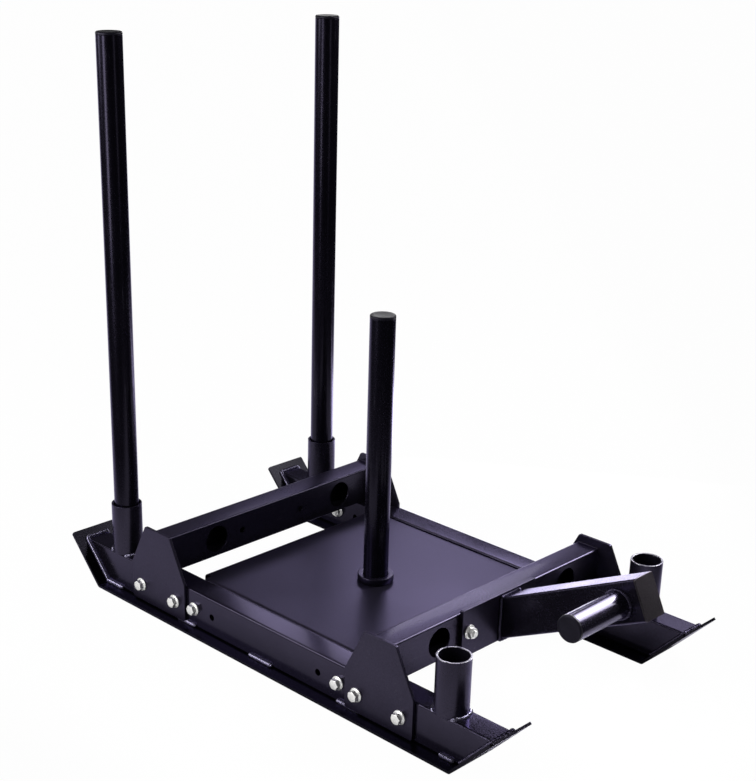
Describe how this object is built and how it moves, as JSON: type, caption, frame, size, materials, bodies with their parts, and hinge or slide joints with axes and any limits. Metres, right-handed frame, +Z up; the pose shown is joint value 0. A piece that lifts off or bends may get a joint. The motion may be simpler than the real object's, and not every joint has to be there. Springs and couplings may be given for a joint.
{
  "type": "weight sled",
  "caption": "Push and pull weight sled: box-tube runners on upturned skid plates, deck tray with weight post, lift-out push posts, front arm with side peg.",
  "frame": {"origin": "centre of the overall box, on the floor under the skid plates", "axes": "+X towards the front, where the empty sockets and the arm are; +Y towards the left runner; +Z up"},
  "size_m": [1.1754, 0.642, 1.0859],
  "materials": {
    "skid_coat": "satin black powder coat, worn bare along the underside edges",
    "runner_coat": "satin black powder coat",
    "gusset_coat": "satin black powder coat",
    "socket_coat": "satin black powder coat",
    "beam_coat": "satin black powder coat",
    "tray_coat": "satin black powder coat",
    "collar_coat": "satin black powder coat",
    "weight_post_coat": "semi-gloss black powder coat",
    "bracket_coat": "satin black powder coat",
    "arm_coat": "satin black powder coat",
    "push_post_coat": "semi-gloss black powder coat",
    "plug_plastic": "matt black moulded plastic",
    "fastener_zinc": "bright zinc plate"
  },
  "bodies": {
    "sled_frame": {"skid_plate_left": "skid_coat", "runner_tube_left": "runner_coat", "gusset_front_left": "gusset_coat", "post_socket_front_left": "socket_coat", "gusset_rear_left": "gusset_coat", "post_socket_rear_left": "socket_coat", "skid_plate_right": "skid_coat", "runner_tube_right": "runner_coat", "gusset_front_right": "gusset_coat", "post_socket_front_right": "socket_coat", "gusset_rear_right": "gusset_coat", "post_socket_rear_right": "socket_coat", "crossbeam_front": "beam_coat", "crossbeam_rear": "beam_coat", "deck_tray": "tray_coat", "post_collar": "collar_coat", "weight_post": "weight_post_coat", "weight_post_cap": "plug_plastic", "bracket_plate": "bracket_coat", "arm_tube": "arm_coat", "arm_end_cap": "arm_coat", "peg_tube": "arm_coat", "peg_cap": "plug_plastic", "bolt_tray_front_left": "fastener_zinc", "nut_tray_front_left": "fastener_zinc", "bolt_gusset_inner_front_left": "fastener_zinc", "nut_gusset_inner_front_left": "fastener_zinc", "bolt_gusset_outer_front_left": "fastener_zinc", "nut_gusset_outer_front_left": "fastener_zinc", "bolt_tray_rear_left": "fastener_zinc", "nut_tray_rear_left": "fastener_zinc", "bolt_gusset_inner_rear_left": "fastener_zinc", "nut_gusset_inner_rear_left": "fastener_zinc", "bolt_gusset_outer_rear_left": "fastener_zinc", "nut_gusset_outer_rear_left": "fastener_zinc", "bolt_bracket_left": "fastener_zinc", "nut_bracket_left": "fastener_zinc", "bolt_tray_front_right": "fastener_zinc", "nut_tray_front_right": "fastener_zinc", "bolt_gusset_inner_front_right": "fastener_zinc", "nut_gusset_inner_front_right": "fastener_zinc", "bolt_gusset_outer_front_right": "fastener_zinc", "nut_gusset_outer_front_right": "fastener_zinc", "bolt_tray_rear_right": "fastener_zinc", "nut_tray_rear_right": "fastener_zinc", "bolt_gusset_inner_rear_right": "fastener_zinc", "nut_gusset_inner_rear_right": "fastener_zinc", "bolt_gusset_outer_rear_right": "fastener_zinc", "nut_gusset_outer_rear_right": "fastener_zinc", "bolt_bracket_right": "fastener_zinc", "nut_bracket_right": "fastener_zinc"},
    "push_post_left": {"push_post_left": "push_post_coat", "push_post_cap_left": "plug_plastic"},
    "push_post_right": {"push_post_right": "push_post_coat", "push_post_cap_right": "plug_plastic"}
  },
  "joints": [
    {"name": "push_post_left_lift", "type": "slide", "parent": "sled_frame", "child": "push_post_left", "axis": [0, 0, 1], "range_m": [0, 0.115]},
    {"name": "push_post_right_lift", "type": "slide", "parent": "sled_frame", "child": "push_post_right", "axis": [0, 0, 1], "range_m": [0, 0.115]}
  ]
}
